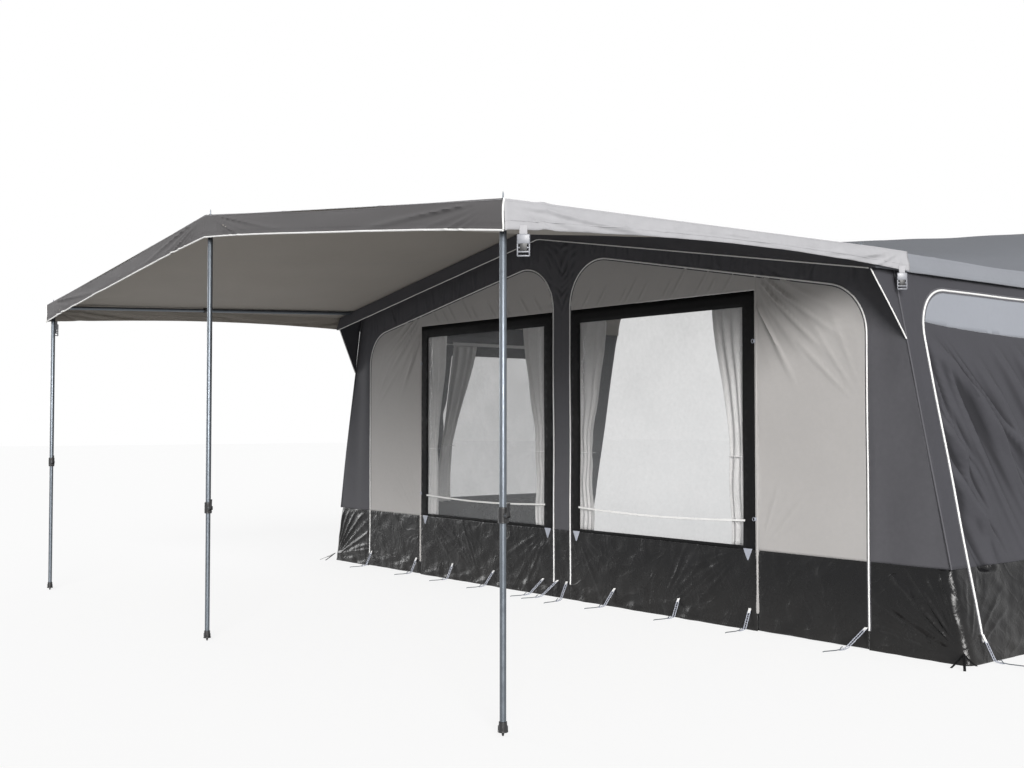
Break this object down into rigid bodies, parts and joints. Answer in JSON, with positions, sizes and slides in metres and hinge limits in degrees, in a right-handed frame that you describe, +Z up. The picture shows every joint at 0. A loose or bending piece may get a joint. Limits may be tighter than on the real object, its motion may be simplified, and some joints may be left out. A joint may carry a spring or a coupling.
{
  "type": "caravan awning",
  "caption": "Gable-roofed porch awning for a caravan, with zipped windows and doors, skirts to the ground and a front sun canopy on telescopic legs.",
  "frame": {"origin": "on the ground, in the middle of the bounding box's footprint", "axes": "+Z up; -Y is the canopy's front, +Y points to the caravan; +X is the right-hand side seen from the front"},
  "size_m": [5.942, 5.58, 2.5415],
  "materials": {
    "awning_front_rail_left": "galvanised steel tube",
    "awning_front_rail_right": "galvanised steel tube",
    "awning_leg_lower_left": "galvanised steel tube",
    "awning_leg_lower_middle": "galvanised steel tube",
    "awning_leg_lower_right": "galvanised steel tube",
    "awning_leg_upper_left": "galvanised steel tube",
    "awning_leg_upper_middle": "galvanised steel tube",
    "awning_leg_upper_right": "galvanised steel tube",
    "awning_roof": "coated cloth, bluish grey",
    "awning_roof_pole_left": "galvanised steel tube",
    "awning_roof_pole_middle": "galvanised steel tube",
    "awning_roof_pole_right": "galvanised steel tube",
    "canopy_clamp_left": "black moulded plastic",
    "canopy_clamp_middle": "black moulded plastic",
    "canopy_clamp_right": "black moulded plastic",
    "canopy_front_rail_left": "galvanised steel tube",
    "canopy_front_rail_right": "galvanised steel tube",
    "canopy_front_valance": "matt woven cloth, dark grey",
    "canopy_leg_lower_left": "galvanised steel tube",
    "canopy_leg_lower_middle": "galvanised steel tube",
    "canopy_leg_lower_right": "galvanised steel tube",
    "canopy_leg_upper_left": "galvanised steel tube",
    "canopy_leg_upper_middle": "galvanised steel tube",
    "canopy_leg_upper_right": "galvanised steel tube",
    "canopy_lever_left": "black moulded plastic",
    "canopy_lever_middle": "black moulded plastic",
    "canopy_lever_right": "black moulded plastic",
    "canopy_ridge_pole": "galvanised steel tube",
    "canopy_roof": "coated cloth, light silver grey",
    "canopy_side_pole_inner_left": "galvanised steel tube",
    "canopy_side_pole_inner_right": "galvanised steel tube",
    "canopy_side_pole_outer_left": "galvanised steel tube",
    "canopy_side_pole_outer_right": "galvanised steel tube",
    "corner_gusset_left": "matt woven cloth, charcoal",
    "corner_gusset_right": "matt woven cloth, charcoal",
    "curtains_front_left": "satin curtain cloth, off-white",
    "curtains_front_right": "satin curtain cloth, off-white",
    "curtains_side_left": "satin curtain cloth, off-white",
    "door_panel_left": "matt woven cloth, warm light grey",
    "door_panel_right": "matt woven cloth, warm light grey",
    "door_skirt_left": "glossy coated cloth, black",
    "door_skirt_right": "glossy coated cloth, black",
    "front_surround": "matt woven cloth, charcoal",
    "gable_pane_left": "clear flexible window foil",
    "gable_panel_left": "matt woven cloth, charcoal",
    "gable_panel_right": "matt woven cloth, charcoal",
    "gable_surround_left": "matt woven cloth, charcoal",
    "gable_surround_right": "matt woven cloth, charcoal",
    "mud_wall_centre": "glossy coated cloth, black",
    "mud_wall_side_left": "glossy coated cloth, black",
    "mud_wall_side_right": "glossy coated cloth, black",
    "mud_wall_window_left": "glossy coated cloth, black",
    "mud_wall_window_right": "glossy coated cloth, black",
    "rail_bead": "glossy coated cloth, black",
    "window_frame_left": "matt woven cloth, black",
    "window_frame_right": "matt woven cloth, black",
    "window_header_left": "matt woven cloth, warm light grey",
    "window_header_right": "matt woven cloth, warm light grey",
    "window_pane_left": "clear flexible window foil",
    "window_pane_right": "clear flexible window foil"
  },
  "bodies": {
    "awning": {"awning_front_rail_left": "awning_front_rail_left", "awning_front_rail_right": "awning_front_rail_right", "awning_leg_upper_left": "awning_leg_upper_left", "awning_leg_upper_middle": "awning_leg_upper_middle", "awning_leg_upper_right": "awning_leg_upper_right", "awning_roof": "awning_roof", "awning_roof_pole_left": "awning_roof_pole_left", "awning_roof_pole_middle": "awning_roof_pole_middle", "awning_roof_pole_right": "awning_roof_pole_right", "canopy_clamp_left": "canopy_clamp_left", "canopy_clamp_middle": "canopy_clamp_middle", "canopy_clamp_right": "canopy_clamp_right", "canopy_front_rail_left": "canopy_front_rail_left", "canopy_front_rail_right": "canopy_front_rail_right", "canopy_front_valance": "canopy_front_valance", "canopy_leg_upper_left": "canopy_leg_upper_left", "canopy_leg_upper_middle": "canopy_leg_upper_middle", "canopy_leg_upper_right": "canopy_leg_upper_right", "canopy_ridge_pole": "canopy_ridge_pole", "canopy_roof": "canopy_roof", "canopy_side_pole_inner_left": "canopy_side_pole_inner_left", "canopy_side_pole_inner_right": "canopy_side_pole_inner_right", "canopy_side_pole_outer_left": "canopy_side_pole_outer_left", "canopy_side_pole_outer_right": "canopy_side_pole_outer_right", "corner_gusset_left": "corner_gusset_left", "corner_gusset_right": "corner_gusset_right", "curtains_front_left": "curtains_front_left", "curtains_front_right": "curtains_front_right", "curtains_side_left": "curtains_side_left", "front_surround": "front_surround", "gable_pane_left": "gable_pane_left", "gable_panel_left": "gable_panel_left", "gable_panel_right": "gable_panel_right", "gable_surround_left": "gable_surround_left", "gable_surround_right": "gable_surround_right", "mud_wall_centre": "mud_wall_centre", "mud_wall_side_left": "mud_wall_side_left", "mud_wall_side_right": "mud_wall_side_right", "mud_wall_window_left": "mud_wall_window_left", "mud_wall_window_right": "mud_wall_window_right", "rail_bead": "rail_bead", "window_frame_left": "window_frame_left", "window_frame_right": "window_frame_right", "window_header_left": "window_header_left", "window_header_right": "window_header_right", "window_pane_left": "window_pane_left", "window_pane_right": "window_pane_right"},
    "canopy_leg_foot_left": {"canopy_leg_lower_left": "canopy_leg_lower_left"},
    "awning_leg_foot_left": {"awning_leg_lower_left": "awning_leg_lower_left"},
    "clamp_lever_left": {"canopy_lever_left": "canopy_lever_left"},
    "canopy_leg_foot_middle": {"canopy_leg_lower_middle": "canopy_leg_lower_middle"},
    "awning_leg_foot_middle": {"awning_leg_lower_middle": "awning_leg_lower_middle"},
    "clamp_lever_middle": {"canopy_lever_middle": "canopy_lever_middle"},
    "canopy_leg_foot_right": {"canopy_leg_lower_right": "canopy_leg_lower_right"},
    "awning_leg_foot_right": {"awning_leg_lower_right": "awning_leg_lower_right"},
    "clamp_lever_right": {"canopy_lever_right": "canopy_lever_right"},
    "door_left": {"door_panel_left": "door_panel_left", "door_skirt_left": "door_skirt_left"},
    "door_right": {"door_panel_right": "door_panel_right", "door_skirt_right": "door_skirt_right"}
  },
  "joints": [
    {"name": "canopy_leg_slide_left", "type": "slide", "parent": "awning", "child": "canopy_leg_foot_left", "axis": [0, 0, 1], "range_m": [-0.3, 0.3]},
    {"name": "canopy_leg_slide_middle", "type": "slide", "parent": "awning", "child": "canopy_leg_foot_middle", "axis": [0, 0, 1], "range_m": [-0.3, 0.3]},
    {"name": "canopy_leg_slide_right", "type": "slide", "parent": "awning", "child": "canopy_leg_foot_right", "axis": [0, 0, 1], "range_m": [-0.3, 0.3]},
    {"name": "awning_leg_slide_left", "type": "slide", "parent": "awning", "child": "awning_leg_foot_left", "axis": [0, 0, 1], "range_m": [-0.3, 0.3]},
    {"name": "awning_leg_slide_middle", "type": "slide", "parent": "awning", "child": "awning_leg_foot_middle", "axis": [0, 0, 1], "range_m": [-0.3, 0.3]},
    {"name": "awning_leg_slide_right", "type": "slide", "parent": "awning", "child": "awning_leg_foot_right", "axis": [0, 0, 1], "range_m": [-0.3, 0.3]},
    {"name": "clamp_lever_hinge_left", "type": "hinge", "parent": "awning", "child": "clamp_lever_left", "pos_m": [-2.54224, -2.755, 0.9], "axis": [0, 1, 0], "range_deg": [0, 100]},
    {"name": "clamp_lever_hinge_middle", "type": "hinge", "parent": "awning", "child": "clamp_lever_middle", "pos_m": [0.028, -2.755, 0.715], "axis": [0, 1, 0], "range_deg": [0, 100]},
    {"name": "clamp_lever_hinge_right", "type": "hinge", "parent": "awning", "child": "clamp_lever_right", "pos_m": [2.59824, -2.755, 0.825], "axis": [0, 1, 0], "range_deg": [0, 100]},
    {"name": "door_hinge_left", "type": "hinge", "parent": "awning", "child": "door_left", "pos_m": [-1.6753, -0.211, 0.9], "axis": [0, 0, 1], "range_deg": [0, 85]},
    {"name": "door_hinge_right", "type": "hinge", "parent": "awning", "child": "door_right", "pos_m": [1.6753, -0.211, 0.9], "axis": [0, 0, -1], "range_deg": [0, 85]}
  ]
}
